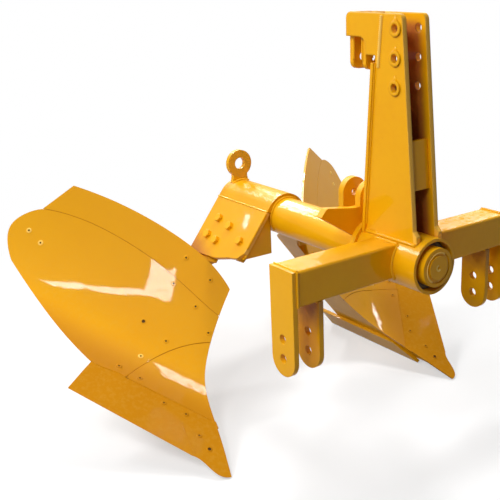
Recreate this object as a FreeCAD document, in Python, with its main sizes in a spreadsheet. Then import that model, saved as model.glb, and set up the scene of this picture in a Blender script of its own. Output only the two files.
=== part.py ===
import FreeCAD, Part
import Sketcher
import math
import os
import re
from types import SimpleNamespace

# A mounted one-furrow reversible plough of the quarter-turn kind, in millimetres.
# X points forward to the tractor, Y to the left and Z up. The origin is on the turnover
# axis, at the middle of the crossbeam. At rest the rotor is half way through its turn,
# so that the plough stands on its two landsides.

V = FreeCAD.Vector

# Driving dimensions, millimetres and degrees.
sizes = {
    # hitch to the tractor's lower links
    "hitch_span": 825,
    "clevis_gap": 76,
    "link_plate": 16,
    "link_hole": 28.5,
    "link_hole_drop": 155,
    "link_hole_pitch": 62,
    "beam_side": 110,
    "beam_wall": 8,
    "beam_rise": 7,
    "beam_corner": 8,
    # headstock hub and its bearings
    "hub_outer": 177.8,
    "hub_bore": 157.8,
    "hub_front": 153,
    "hub_rear": 115,
    "hub_recess": 32,
    "bush_length": 60,
    "journal": 110,
    "running_gap": 0.05,
    "press_gap": 0.02,
    "thrust_washer_outer": 148,
    "thrust_washer_thick": 8,
    "nut_outer": 124,
    "nut_proud": 15,
    "spindle_end": 78,
    "spindle_end_proud": 4,
    "centre_hole": 12,
    "centre_hole_depth": 8,
    "nut_groove_outer": 100,
    "nut_groove_inner": 90,
    "nut_groove_depth": 3,
    # mast
    "mast_gap": 77,
    "mast_plate": 16,
    "mast_top": 744,
    "mast_top_front": 52,
    "mast_front_reach": 112,
    "mast_front_height": 113,
    "mast_rear_top": 59,
    "mast_rear_reach": 102,
    "mast_lobe_reach": 194,
    "mast_lobe_bottom": 672,
    "mast_notch_bottom": 621,
    "mast_notch_reach": 104,
    "mast_corner": 20,
    "mast_notch_round": 28,
    "mast_flare": 16,
    "top_hole": 25.7,
    "top_hole_forward": 26,
    "top_hole_height": 533,
    "top_hole_pitch": 84.5,
    "top_boss_outer": 46,
    "top_boss_proud": 5,
    "back_plate": 12,
    "back_plate_lap": 8,
    "back_plate_top": 600,
    "bridge_bottom": 229,
    "bridge_height": 150,
    "bridge_inset": 14,
    # ears and lugs for the turnover cylinder
    "ear_plate": 16,
    "ear_gap": 42,
    "ear_bottom": 573,
    "ear_hole_height": 609,
    "cylinder_pin_hole": 25.4,
    "ear_corner": 22,
    "lug_plate": 25,
    "lug_gap": 59,
    "lug_radius": 50,
    "lug_hole_height": 167,
    "lug_shoulder_height": 141,
    "lug_shoulder_out": 76,
    "arm_tip_out": 185,
    "arm_tip_height": 158,
    "arm_end_out": 210,
    "arm_end_height": 132,
    "arm_round": 10,
    "lug_foot_out": 66,
    # turnover stops
    "turn_limit": 37.5,
    "stop_radius": 165,
    "stop_clear": 0.5,
    "round_relief": 0.5,
    "stop_screw": 20,
    "stop_head": 30,
    "stop_head_high": 13,
    "stop_nut_high": 10,
    "stop_nut_rise": 6,
    "stop_shelf": 20,
    "stop_width": 56,
    "stop_overhang": 28,
    "stop_heel_high": 60,
    "stop_screw_below": 45,
    # rotor
    "collar_outer": 200,
    "collar_thick": 20,
    "collar_gap": 0.5,
    "tube_outer": 139.7,
    "tube_wall": 12.5,
    "spigot_length": 80,
    "tube_rear": 930,
    "tube_cap": 10,
    # head that carries the two legs
    "head_front": 612,
    "head_rear": 940,
    "head_plate": 16,
    "skirt_drop": 26,
    "cheek_rear_drop": 268,
    "cheek_low_drop": 256,
    "cheek_low_back": 759,
    "cheek_wave_back": 690,
    "cheek_wave_drop": 236,
    "cheek_toe_back": 640,
    "cheek_toe_drop": 228,
    "cheek_front_drop": 196,
    "cheek_round": 14,
    "web_plate": 12,
    "web_inset": 8,
    "web_low": 132,
    "web_inner": 66,
    "eye_back": 918,
    "eye_outer": 105,
    "eye_hole": 45,
    "eye_plate": 18,
    "eye_height": 152,
    "eye_foot_half": 38,
    "eye_neck_half": 31,
    # leg
    "leg_plate": 30,
    "leg_top_drop": 84,
    "leg_front": 640,
    "leg_rear": 926,
    "leg_neck_front": 835,
    "leg_neck_rear": 970,
    "shoulder_below": 40,
    "leg_foot_rear": 900,
    "leg_foot_front": 800,
    "leg_bolt": 20,
    "leg_bolt_head": 30,
    "leg_bolt_head_high": 12,
    "bolt_gap": 0.25,
    "leg_bolt_nut_high": 16,
    "leg_bolt_end": 6,
    "leg_foot_height": 180,
    "leg_round": 40,
    # plough body, in its own upright pose over the furrow floor
    "body_drop": 237,
    "land_out": 10,
    "point_back": 228,
    "nose_reach": 500,
    "board_height": 640,
    "board_length": 1185,
    "cut_angle": 39.5,
    "tail_twist": 9,
    "chord_angle": 43,
    "board_thick": 10,
    "seam_gap": 1.6,
    "seat_gap": 0.3,
    "seat_thick": 14,
    "frog_front": 330,
    "frog_rear": 920,
    "landside_plate": 14,
    "landside_height": 100,
    "landside_front": 430,
    "landside_rear": 1000,
    "landside_slope": 90,
    "bracket_plate": 10,
    "stay_tube": 33.7,
    "stay_foot_back": 930,
    "stay_foot_height": 420,
    "stay_foot": 70,
    "board_overrun": 60,
    "front_room": 130,
}

# Heights that follow from these: the furrow floor under the turnover axis, and the leg's shoulder.
derived = {
    "floor_drop": "body_drop + board_height",
    "leg_shoulder_height": "board_height - shoulder_below",
}

doc = FreeCAD.newDocument("reversible_plough")
sheet = doc.addObject("Spreadsheet::Sheet", "dim")
names = list(sizes) + list(derived)
for row, alias in enumerate(names, 1):
    sheet.set(f"A{row}", alias)
    sheet.setAlias(f"B{row}", alias)
    sheet.set(f"B{row}", f"={derived[alias]}" if alias in derived else str(sizes[alias]))
doc.recompute()
dim = SimpleNamespace(**{alias: float(sheet.get(alias)) for alias in names})


def bound(text):
    return re.sub(r"[a-z]\w*", lambda word: f"dim.{word.group()}" if word.group() in names else word.group(), text)


def value(text):
    return float(sheet.evalExpression(text))


def bind(thing, name, text):
    thing.setExpression(name, bound(text))


def plane_of(body, role):
    return next(feature for feature in body.Origin.OriginFeatures if feature.Role == role)


def new_sketch(body, role):
    sketch = body.newObject("Sketcher::SketchObject", "sketch")
    sketch.AttachmentSupport = [(plane_of(body, role), "")]
    sketch.MapMode = "FlatFace"
    return sketch


def hold_point(sketch, index, point, spot):
    """Tie one point of a sketch to the origin by two bound distances."""
    for kind, text in zip(("DistanceX", "DistanceY"), spot):
        number = sketch.addConstraint(Sketcher.Constraint(kind, -1, 1, index, point, value(text)))
        bind(sketch, f"Constraints[{number}]", text)


def draw_outline(sketch, corners):
    places = [V(value(across), value(up), 0) for across, up in corners]
    first = sketch.GeometryCount
    count = len(places)
    for index, place in enumerate(places):
        sketch.addGeometry(Part.LineSegment(place, places[(index + 1) % count]))
    for index in range(count):
        joined = (first + index, 2, first + (index + 1) % count, 1)
        sketch.addConstraint(Sketcher.Constraint("Coincident", *joined))
    for index, spot in enumerate(corners):
        hold_point(sketch, first + index, 1, spot)


def draw_circle(sketch, across, up, diameter):
    place = V(value(across), value(up), 0)
    index = sketch.addGeometry(Part.Circle(place, V(0, 0, 1), value(diameter) / 2))
    hold_point(sketch, index, 3, (across, up))
    number = sketch.addConstraint(Sketcher.Constraint("Diameter", index, value(diameter)))
    bind(sketch, f"Constraints[{number}]", diameter)


def round_corners(body, base, role, rounds):
    """Fillet the edges that run square to the sketch plane through the named corners."""
    axes = {"XY_Plane": (0, 1), "XZ_Plane": (0, 2), "YZ_Plane": (1, 2)}[role]
    for radius, spots in rounds:
        names = []
        for number, edge in enumerate(base.Shape.Edges, 1):
            ends = [vertex.Point for vertex in edge.Vertexes]
            for across, up in spots:
                flat = (value(across), value(up))
                gaps = [math.hypot(end[axes[0]] - flat[0], end[axes[1]] - flat[1]) for end in ends]
                if len(ends) == 2 and max(gaps) < dim.seat_gap:
                    names.append(f"Edge{number}")
        fillet = body.newObject("PartDesign::Fillet", "round")
        fillet.Base = (base, names)
        bind(fillet, "Radius", radius)
        doc.recompute()
        base = fillet
    return base


def place_body(thing, at, turn):
    """Put a piece at a spot of its own upright frame, and turn that frame about X."""
    lean = FreeCAD.Rotation(V(1, 0, 0), turn)
    thing.Placement = FreeCAD.Placement(lean.multVec(V(*at)), lean)


def plate(label, role, corners, thick, holes=(), rounds=(), at=(0, 0, 0), turn=0):
    """A flat plate: an outline with round holes, padded evenly about its plane."""
    body = doc.addObject("PartDesign::Body", label)
    body.Label = label
    sketch = new_sketch(body, role)
    draw_outline(sketch, corners)
    for across, up, diameter in holes:
        draw_circle(sketch, across, up, diameter)
    doc.recompute()
    pad = body.newObject("PartDesign::Pad", "pad")
    pad.Profile = sketch
    pad.SideType = "Symmetric"
    bind(pad, "Length", thick)
    doc.recompute()
    round_corners(body, pad, role, rounds)
    place_body(body, at, turn)
    return body


def turned(label, profile, at=(0, 0, 0), turn=0):
    """A round piece: a half section in (along X, radius) revolved about the X axis."""
    body = doc.addObject("PartDesign::Body", label)
    body.Label = label
    sketch = new_sketch(body, "XZ_Plane")
    draw_outline(sketch, profile)
    doc.recompute()
    spin = body.newObject("PartDesign::Revolution", "spin")
    spin.Profile = sketch
    spin.ReferenceAxis = (sketch, ["H_Axis"])
    doc.recompute()
    place_body(body, at, turn)
    return body


def bore(body, role, across, up, diameter):
    """Cut a round hole square to one of the body's own planes, right through."""
    sketch = new_sketch(body, role)
    draw_circle(sketch, across, up, diameter)
    doc.recompute()
    pocket = body.newObject("PartDesign::Pocket", "bore")
    pocket.Profile = sketch
    pocket.Type = "ThroughAll"
    pocket.SideType = "Symmetric"
    doc.recompute()
    return pocket


def solid_piece(label, shape, turn=0):
    """A piece made with Part's own functions, for forms that a sketch can't give."""
    piece = doc.addObject("Part::Feature", label)
    piece.Label = label
    piece.Shape = shape
    place_body(piece, (0, 0, 0), turn)
    return piece


def mirrored(label, source):
    """The same piece on the other side of the plough."""
    twin = doc.addObject("Part::Mirroring", label)
    twin.Label = label
    twin.Source = source
    twin.Normal = V(0, 1, 0)
    return twin


pieces = []


def keep(*made):
    pieces.extend(made)


def keep_pair(name, right):
    """Keep a right-hand piece with its mirrored left-hand twin."""
    right.Label = f"{name}_right"
    keep(right, mirrored(f"{name}_left", right))


def hexagon(flats, high, at, axis):
    """A six-sided prism, flats apart as given, that rises from a point along an axis."""
    corner = flats / math.sqrt(3)
    angles = [math.radians(60 * step) for step in range(7)]
    outline = Part.makePolygon([V(corner * math.cos(angle), corner * math.sin(angle), 0) for angle in angles])
    prism = Part.Face(outline).extrude(V(0, 0, high))
    prism.Placement = FreeCAD.Placement(at, FreeCAD.Rotation(V(0, 0, 1), axis))
    return prism


# Crossbeam: two square tubes that are coped round the hub.
def make_crossbeam():
    outer = "(hitch_span + clevis_gap) / 2"
    body = doc.addObject("PartDesign::Body", "crossbeam_right")
    half = "beam_side / 2"
    corners = [(f"-{half}", f"beam_rise - {half}"), (half, f"beam_rise - {half}"),
               (half, f"beam_rise + {half}"), (f"-{half}", f"beam_rise + {half}")]
    sketch = new_sketch(body, "XZ_Plane")
    draw_outline(sketch, corners)
    doc.recompute()
    pad = body.newObject("PartDesign::Pad", "pad")
    pad.Profile = sketch
    bind(pad, "Length", outer)
    doc.recompute()
    rounded = round_corners(body, pad, "XZ_Plane", [("beam_corner", corners)])
    inner = "(beam_side / 2 - beam_wall)"
    sketch = new_sketch(body, "XZ_Plane")
    draw_outline(sketch, [(f"-{inner}", f"beam_rise - {inner}"), (inner, f"beam_rise - {inner}"),
                          (inner, f"beam_rise + {inner}"), (f"-{inner}", f"beam_rise + {inner}")])
    doc.recompute()
    pocket = body.newObject("PartDesign::Pocket", "hollow")
    pocket.Profile = sketch
    pocket.Type = "ThroughAll"
    pocket.SideType = "Symmetric"
    doc.recompute()
    bore(body, "YZ_Plane", "0", "0", "hub_outer + 2 * seat_gap")
    if body.Shape.BoundBox.YMax > 0:
        raise RuntimeError("the crossbeam's right half lies on the left")
    keep_pair("crossbeam", body)


# Link plates: an outer one that closes the beam's end, and an inner one under the beam.
def make_link_plates():
    low = "(link_hole_drop + link_hole_pitch)"
    half = "beam_side / 2"
    bottom = f"-{low} - {half}"
    holes = [("0", "-link_hole_drop", "link_hole"), ("0", f"-{low}", "link_hole")]
    ends = [(f"-{half}", bottom), (half, bottom)]
    for name, top, side in (("outer", f"beam_rise + {half}", 1), ("inner", f"beam_rise - {half}", -1)):
        corners = ends + [(half, top), (f"-{half}", top)]
        middle = (dim.hitch_span + side * (dim.clevis_gap + dim.link_plate)) / 2
        made = plate(f"link_plate_{name}_right", "XZ_Plane", corners, "link_plate", holes,
                     [("beam_side / 2 - round_relief", ends)], (0, -middle, 0))
        keep_pair(f"link_plate_{name}", made)


def mast_front(height):
    """Where the mast's front edge is at a height, as expression text."""
    rate = "(mast_front_reach - mast_top_front) / (mast_top - mast_front_height)"
    return f"(mast_top_front + (mast_top - {height}) * {rate})"


def mast_rear(height):
    rate = "(mast_rear_reach - mast_rear_top) / (mast_notch_bottom - beam_rise - beam_side / 2)"
    return f"(-mast_rear_top - (mast_notch_bottom - {height}) * {rate})"


# Mast: two tapering side plates, a back plate behind them and a bridge between them.
def make_mast():
    seat = "(beam_rise + beam_side / 2)"
    side_middle = (dim.mast_gap + dim.mast_plate) / 2
    top_front = ("mast_top_front", "mast_top")
    top_rear = ("-mast_lobe_reach", "mast_top")
    lobe_low = ("-mast_lobe_reach", "mast_lobe_bottom")
    notch_top = ("-mast_notch_reach", "mast_lobe_bottom")
    notch_low = ("-mast_notch_reach", "mast_notch_bottom")
    corners = [("-mast_rear_reach", seat), ("mast_front_reach + mast_flare", seat),
               ("mast_front_reach + mast_flare", "mast_front_height - mast_flare"),
               ("mast_front_reach", "mast_front_height"), top_front, top_rear, lobe_low,
               notch_top, notch_low, ("-mast_rear_top", "mast_notch_bottom")]
    holes = [("top_hole_forward", f"top_hole_height + {step} * top_hole_pitch", "top_hole")
             for step in range(3)]
    rounds = [("mast_corner", [top_front, top_rear]), ("mast_notch_round", [notch_top])]
    made = plate("mast_plate_right", "XZ_Plane", corners, "mast_plate", holes, rounds, (0, -side_middle, 0))
    sketch = new_sketch(made, "YZ_Plane")
    draw_circle(sketch, "(mast_gap + mast_plate) / 2", "0", "hub_outer + 2 * seat_gap")
    doc.recompute()
    pocket = made.newObject("PartDesign::Pocket", "cope")
    pocket.Profile = sketch
    pocket.Type = "ThroughAll"
    pocket.SideType = "Symmetric"
    doc.recompute()
    rings = new_sketch(made, "XZ_Plane")
    bind(rings, "AttachmentOffset.Base.z", "mast_plate / 2")
    for across, up, diameter in holes:
        draw_circle(rings, across, up, diameter)
        draw_circle(rings, across, up, "top_boss_outer")
    doc.recompute()
    bosses = made.newObject("PartDesign::Pad", "bosses")
    bosses.Profile = rings
    bind(bosses, "Length", "top_boss_proud")
    doc.recompute()
    keep_pair("mast_plate", made)

    rear_low = mast_rear(seat)
    rear_high = mast_rear("back_plate_top")
    back = plate("mast_back_plate", "XZ_Plane",
                 [(rear_low, seat), (rear_high, "back_plate_top"),
                  (f"{rear_high} - back_plate", "back_plate_top"), (f"{rear_low} - back_plate", seat)],
                 "mast_gap + 2 * mast_plate + 2 * back_plate_lap")
    bore(back, "YZ_Plane", "0", "0", "hub_outer + 2 * seat_gap")
    keep(back)

    high = "(bridge_bottom + bridge_height)"
    face_low = f"{mast_front('bridge_bottom')} - bridge_inset"
    face_high = f"{mast_front(high)} - bridge_inset"
    keep(plate("mast_bridge", "XZ_Plane",
               [(face_low, "bridge_bottom"), (face_high, high),
                (f"{face_high} - back_plate", high), (f"{face_low} - back_plate", "bridge_bottom")],
               "mast_gap"))


# Ears between the mast's lobes, for the barrel end of the turnover cylinder.
def make_ears():
    half = "mast_gap / 2"
    corners = [(f"-{half}", "ear_bottom"), (half, "ear_bottom"), (half, "mast_top"), (f"-{half}", "mast_top")]
    hole = [("0", "ear_hole_height", "cylinder_pin_hole")]
    rear = -dim.mast_lobe_reach + dim.ear_plate / 2
    front = rear + dim.ear_gap + dim.ear_plate
    for name, where in (("rear", rear), ("front", front)):
        keep(plate(f"cylinder_ear_{name}", "YZ_Plane", corners, "ear_plate", hole,
                   [("ear_corner", corners[:2])], (where, 0, 0)))


# Hub: a thick tube with a bush pressed into each end.
def make_hub():
    keep(turned("hub_tube", [("-hub_rear", "hub_bore / 2"), ("hub_front", "hub_bore / 2"),
                             ("hub_front", "hub_outer / 2"), ("-hub_rear", "hub_outer / 2")]))
    front = dim.hub_front - dim.hub_recess
    bushes = []
    for high in (front, dim.bush_length - dim.hub_rear):
        start = V(high - dim.bush_length, 0, 0)
        bush = Part.makeCylinder(dim.hub_bore / 2 - dim.press_gap, dim.bush_length, start, V(1, 0, 0))
        hole = Part.makeCylinder(dim.journal / 2 + dim.running_gap, dim.bush_length, start, V(1, 0, 0))
        bushes.append(bush.cut(hole))
    keep(solid_piece("hub_bushes", Part.makeCompound(bushes)))


def collar_back():
    """Where the rear face of the spindle's collar lies; the beam and the crank start there."""
    return -dim.hub_rear - dim.collar_gap - dim.collar_thick


# Stops: a shelf behind each half of the crossbeam, with an adjusting screw in it.
def make_stops():
    arm_angle = math.degrees(math.atan2(dim.arm_end_height, dim.arm_end_out)) - dim.turn_limit
    lean = math.radians(arm_angle)
    # The screw stands square to the arm's lower edge as that edge lies at the turn's end.
    along = V(0, -math.cos(lean), math.sin(lean))
    upward = V(0, math.sin(lean), math.cos(lean))
    arm_middle = collar_back() - dim.lug_plate / 2
    contact = along * dim.stop_radius + V(arm_middle, 0, 0) - upward * dim.stop_clear

    def pin(radius, low, high):
        return Part.makeCylinder(radius, high - low, contact + upward * low, upward)

    nut_low = -dim.stop_head_high - dim.stop_nut_high - dim.stop_nut_rise
    head = hexagon(dim.stop_head, dim.stop_head_high, contact - upward * dim.stop_head_high, upward)
    nut = hexagon(dim.stop_head, dim.stop_nut_high, contact + upward * nut_low, upward)
    shank = pin(dim.stop_screw / 2, nut_low - dim.stop_screw_below, -dim.stop_head_high / 2)
    keep_pair("stop_screw", solid_piece("stop_screw_right", shank.fuse([head, nut])))

    centre = -contact.y
    rear_face = -dim.beam_side / 2
    shelf_rear = arm_middle - dim.stop_overhang
    shelf_top = contact.z + nut_low - dim.seat_gap - math.tan(abs(lean)) * dim.stop_head / 2
    heel = dim.stop_heel_high
    profile = [(rear_face, shelf_top - dim.stop_shelf), (rear_face, shelf_top + heel),
               (rear_face - dim.link_plate, shelf_top + heel), (rear_face - dim.link_plate, shelf_top),
               (shelf_rear, shelf_top), (shelf_rear, shelf_top - dim.stop_shelf)]
    right_face = -centre - dim.stop_width / 2
    wire = Part.makePolygon([V(x, right_face, z) for x, z in profile + profile[:1]])
    shelf = Part.Face(wire).extrude(V(0, dim.stop_width, 0))
    screw_hole = pin(dim.stop_screw / 2 + dim.bolt_gap, nut_low - dim.stop_screw_below, 0)
    keep_pair("stop_shelf", solid_piece("stop_shelf_right", shelf.cut(screw_hole)))


# Spindle: journal, collar and spigot in one turned piece, held by a washer and a nut.
def make_spindle():
    seat = "(hub_front - hub_recess + thrust_washer_thick + 2 * seat_gap)"
    nut_face = "(hub_front + nut_proud)"
    end = f"({nut_face} + spindle_end_proud)"
    collar_front = "(-hub_rear - collar_gap)"
    collar_rear = f"({collar_front} - collar_thick)"
    spigot_end = f"({collar_rear} - spigot_length)"
    spigot = "tube_outer / 2 - tube_wall - running_gap"
    keep(turned("spindle", [(spigot_end, "0"), (spigot_end, spigot), (collar_rear, spigot),
                            (collar_rear, "collar_outer / 2"), (collar_front, "collar_outer / 2"),
                            (collar_front, "journal / 2"), (seat, "journal / 2"),
                            (seat, "spindle_end / 2"), (end, "spindle_end / 2"),
                            (end, "centre_hole / 2"), (f"{end} - centre_hole_depth", "0")]))
    front = "(hub_front - hub_recess + seat_gap)"
    back = f"({front} + thrust_washer_thick)"
    inner = "journal / 2 + running_gap"
    keep(turned("thrust_washer", [(front, inner), (back, inner), (back, "thrust_washer_outer / 2"),
                                  (front, "thrust_washer_outer / 2")]))
    bore_radius = "spindle_end / 2 + running_gap"
    groove = f"{nut_face} - nut_groove_depth"
    keep(turned("spindle_nut", [(seat, bore_radius), (nut_face, bore_radius),
                                (nut_face, "nut_groove_inner / 2"), (groove, "nut_groove_inner / 2"),
                                (groove, "nut_groove_outer / 2"), (nut_face, "nut_groove_outer / 2"),
                                (nut_face, "nut_outer / 2"), (seat, "nut_outer / 2")]))


# Beam tube with its rear cap.
def make_beam_tube():
    front = "(-hub_rear - collar_gap - collar_thick)"
    inner = "(tube_outer / 2 - tube_wall)"
    keep(turned("beam_tube", [("-tube_rear", inner), (front, inner), (front, "tube_outer / 2"),
                              ("-tube_rear", "tube_outer / 2")]))
    keep(turned("beam_end_cap", [("-tube_rear - tube_cap", "0"), ("-tube_rear - tube_cap", "tube_outer / 2"),
                                 ("-tube_rear", "tube_outer / 2"), ("-tube_rear", "0")]))


# Crank: a front plate with two stop arms and a lug, and a second lug behind it.
def make_crank():
    tube_seat = "tube_outer + 2 * seat_gap"
    hole = [("0", "lug_hole_height", "cylinder_pin_hole")]
    top = "lug_hole_height + lug_radius"
    front = collar_back() - dim.lug_plate / 2
    rear = front - dim.lug_gap - dim.lug_plate
    foot = "arm_end_height * lug_foot_out / arm_end_out"
    right_half = [("-lug_foot_out", foot), ("-arm_end_out", "arm_end_height"),
                  ("-arm_tip_out", "arm_tip_height"), ("-lug_shoulder_out", "lug_shoulder_height"),
                  ("-lug_radius", "lug_shoulder_height"), ("-lug_radius", top)]
    left_half = [(across[1:], up) for across, up in reversed(right_half)]
    crank = plate("crank_plate", "YZ_Plane", right_half + left_half, "lug_plate", hole,
                  [("lug_radius - round_relief", [right_half[-1], left_half[0]]),
                   ("arm_round", [right_half[2], left_half[3]])], (front, 0, 0))
    bore(crank, "YZ_Plane", "0", "0", tube_seat)
    keep(crank)
    corners = [("-lug_radius", "0"), ("lug_radius", "0"), ("lug_radius", top), ("-lug_radius", top)]
    lug = plate("crank_lug_rear", "YZ_Plane", corners, "lug_plate", hole,
                [("lug_radius - round_relief", corners[2:])], (rear, 0, 0))
    bore(lug, "YZ_Plane", "0", "0", tube_seat)
    keep(lug)


# Head: a saddle bent over the tube, two cheeks, two webs and the lifting eye.
def make_head():
    inner = dim.tube_outer / 2 + dim.seat_gap
    outer = inner + dim.head_plate
    tilt = math.radians(dim.turn_limit)

    def on_side(radius, drop, side=-1):
        """A point of a skirt, in the plane square to the tube at the head's front."""
        flat = radius * math.cos(tilt) + drop * math.sin(tilt)
        return V(-dim.head_front, side * flat, radius * math.sin(tilt) - drop * math.cos(tilt))

    def over(radius):
        right, left = on_side(radius, 0), on_side(radius, 0, 1)
        arc = Part.Arc(right, V(-dim.head_front, 0, radius), left).toShape()
        low_right, low_left = on_side(radius, dim.skirt_drop), on_side(radius, dim.skirt_drop, 1)
        return [Part.makeLine(low_right, right), arc, Part.makeLine(left, low_left)]

    ends = [Part.makeLine(on_side(outer, dim.skirt_drop, side), on_side(inner, dim.skirt_drop, side))
            for side in (-1, 1)]
    wire = Part.Wire(Part.__sortEdges__(over(outer) + over(inner) + ends))
    saddle = Part.Face(wire).extrude(V(dim.head_front - dim.head_rear, 0, 0))
    keep(solid_piece("head_saddle", saddle))

    front = "-head_front"
    rear = "-head_rear"
    top = "-skirt_drop - seam_gap"
    corners = [(front, top), (rear, top), (rear, "-cheek_rear_drop"), ("-cheek_low_back", "-cheek_low_drop"),
               ("-cheek_wave_back", "-cheek_wave_drop"), ("-cheek_toe_back", "-cheek_toe_drop"),
               (front, "-cheek_front_drop")]
    rounds = [("cheek_round", corners[2:])]
    middle = -(outer - dim.head_plate / 2)
    cheek = plate("cheek_right", "XZ_Plane", corners, "head_plate", leg_holes("leg_bolt + 2 * bolt_gap"),
                  rounds, (0, middle, 0), -dim.turn_limit)
    keep_pair("cheek", cheek)

    # The gussets stand square to the tube, between it and the cheek.
    high = on_side(inner, dim.skirt_drop)
    low = high + V(0, -math.tan(tilt), -1) * (dim.web_low + high.z)
    front = -dim.head_front
    corners = [V(front, 0, 0), high, low, V(front, -dim.web_inner, low.z), V(front, -dim.web_inner, 0)]
    blank = Part.Face(Part.makePolygon(corners + corners[:1])).extrude(V(-dim.web_plate, 0, 0))
    web = blank.cut(Part.makeCylinder(inner, dim.web_plate, V(front, 0, 0), V(-1, 0, 0)))
    reach = dim.head_rear - dim.head_front - dim.web_plate
    webs = [web.translated(V(-back, 0, 0)) for back in (dim.web_inset, reach)]
    keep_pair("head_gussets", solid_piece("head_gussets_right", Part.makeCompound(webs)))

    foot = [("-eye_foot_half", "tube_outer / 2"), ("eye_foot_half", "tube_outer / 2"),
            ("eye_neck_half", "eye_height - eye_outer / 2"), ("eye_neck_half", "eye_height"),
            ("-eye_neck_half", "eye_height"), ("-eye_neck_half", "eye_height - eye_outer / 2")]
    eye = plate("lifting_eye", "YZ_Plane", foot, "eye_plate", (), (), (-dim.eye_back, 0, 0))
    disc = new_sketch(eye, "YZ_Plane")
    draw_circle(disc, "0", "eye_height", "eye_outer")
    doc.recompute()
    ring = eye.newObject("PartDesign::Pad", "ring")
    ring.Profile = disc
    ring.SideType = "Symmetric"
    bind(ring, "Length", "eye_plate")
    doc.recompute()
    bore(eye, "YZ_Plane", "0", "eye_height", "eye_hole")
    bore(eye, "YZ_Plane", "0", "0", "tube_outer + 2 * head_plate + 4 * seat_gap")
    keep(eye)


# Leg bolts as shares of the cheek's length, from its front, and of its depth, from its top.
leg_bolt_shares = [(0.19, 0.64), (0.50, 0.49), (0.61, 0.76), (0.76, 0.43), (0.81, 0.72)]


def leg_holes(diameter):
    return [(f"-head_front - {along} * (head_rear - head_front)", f"-{down} * cheek_low_drop", diameter)
            for along, down in leg_bolt_shares]


# Height over the furrow floor against reach back from the point, for the leading edge.
rise_shares = [(0.0, 0.0), (0.078, 0.168), (0.156, 0.348), (0.234, 0.554), (0.3125, 0.704),
               (0.406, 0.80), (0.516, 0.868), (0.656, 0.928), (0.828, 0.972), (1.0, 1.0)]


def nose_reach(height):
    share = height / dim.board_height
    pairs = list(zip(rise_shares, rise_shares[1:]))
    (low, near), (high, far) = next((pair for pair in pairs if share <= pair[1][0]), pairs[-1])
    return dim.nose_reach * (near + (far - near) * (share - low) / (high - low))


def board_turn(height):
    return math.radians(dim.cut_angle + dim.tail_twist * height / dim.board_height)


def skin(height, along):
    """A point of the body's working surface, in its upright frame.

    Level straight lines start on the leading edge, in the landside's plane, and turn away
    from the furrow wall a little more at each height.
    """
    turn = board_turn(height)
    return V(-dim.point_back - nose_reach(height) - along * math.cos(turn),
             dim.land_out - along * math.sin(turn), height - dim.floor_drop)


def behind(height, along, back):
    """The point that lies a given depth behind the working surface."""
    step = dim.board_overrun
    climb = skin(height + step / 2, along) - skin(height - step / 2, along)
    run = skin(height, along + step) - skin(height, along)
    away = run.cross(climb)
    away.normalize()
    return skin(height, along) + away * back


def sheet_behind(back, thick):
    """A thick twisted sheet behind the working surface, ruled from its nose to its tail."""
    low = -dim.board_overrun / 2
    heights = [low + (dim.board_height + dim.board_overrun) * share for share, reach in rise_shares]
    rails = []
    for along, depth in ((-dim.board_overrun, back), (dim.board_length, back),
                         (dim.board_length, back + thick), (-dim.board_overrun, back + thick)):
        rail = Part.BSplineCurve()
        rail.interpolate(Points=[behind(height, along, depth) for height in heights], Parameters=heights)
        rails.append(rail)
    sides = [Part.makeRuledSurface(rail.toShape(), rails[index - 1].toShape())
             for index, rail in enumerate(rails)]
    ends = []
    for corners in ([rail.StartPoint for rail in rails], [rail.EndPoint for rail in rails]):
        ends.append(Part.makeRuledSurface(Part.makeLine(corners[0], corners[1]),
                                          Part.makeLine(corners[3], corners[2])))
    shell = Part.makeShell(sides + ends)
    shell.sewShape()
    solid = Part.makeSolid(shell)
    return solid if solid.Volume > 0 else solid.reversed()


def on_chord(spot, depth):
    """A point over the body's upright chord plane, from shares of its length and height."""
    turn = math.radians(dim.chord_angle)
    along = spot[0] * dim.board_length
    return V(-dim.point_back - along * math.cos(turn) - depth * math.sin(turn),
             dim.land_out - along * math.sin(turn) + depth * math.cos(turn),
             spot[1] * dim.board_height - dim.floor_drop)


def prism(runs):
    """An outline of curves and straights on the chord plane, extruded level through the boards."""
    edges = []
    for run in runs:
        places = [on_chord(spot, -dim.board_height) for spot in run]
        if len(places) == 2:
            edges.append(Part.makeLine(*places))
        else:
            curve = Part.BSplineCurve()
            curve.interpolate(places)
            edges.append(curve.toShape())
    through = on_chord((0, 0), dim.board_height) - on_chord((0, 0), -dim.board_height)
    return Part.Face(Part.Wire(edges)).extrude(through)


def beyond(side):
    """All the space on the land side of an upright plane, for trimming the boards there."""
    return Part.makeBox(dim.board_length + dim.board_height, dim.board_length, dim.board_length,
                        V(-dim.point_back - dim.board_length, side, -dim.floor_drop - dim.board_overrun))


def shift(run, across, up):
    return [(share + across / dim.board_length, high + up / dim.board_height) for share, high in run]


# Outlines of the boards as shares of board_length and board_height on the chord plane.
trash_seam_shares = [(0.938, 0.763), (0.879, 0.794), (0.772, 0.820), (0.677, 0.819), (0.576, 0.802),
                     (0.470, 0.764), (0.374, 0.717), (0.270, 0.674)]
trash_top_shares = [(0.270, 0.810), (0.300, 0.847), (0.355, 0.903), (0.477, 0.970), (0.571, 0.992),
                    (0.742, 0.997), (0.888, 0.966)]
tail_shares = [(0.938, 0.420), (0.971, 0.478), (1.0, 0.592), (0.978, 0.694), (0.938, 0.763)]
lower_edge_shares = [(0.531, 0.153), (0.641, 0.202), (0.737, 0.258), (0.841, 0.334), (0.938, 0.420)]
shin_seam_shares = [(0.240, 0.548), (0.266, 0.528), (0.319, 0.464), (0.359, 0.391), (0.397, 0.283),
                    (0.419, 0.163)]
wing_seam_shares = [(0.419, 0.163), (0.452, 0.164), (0.493, 0.155), (0.531, 0.153)]
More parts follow.
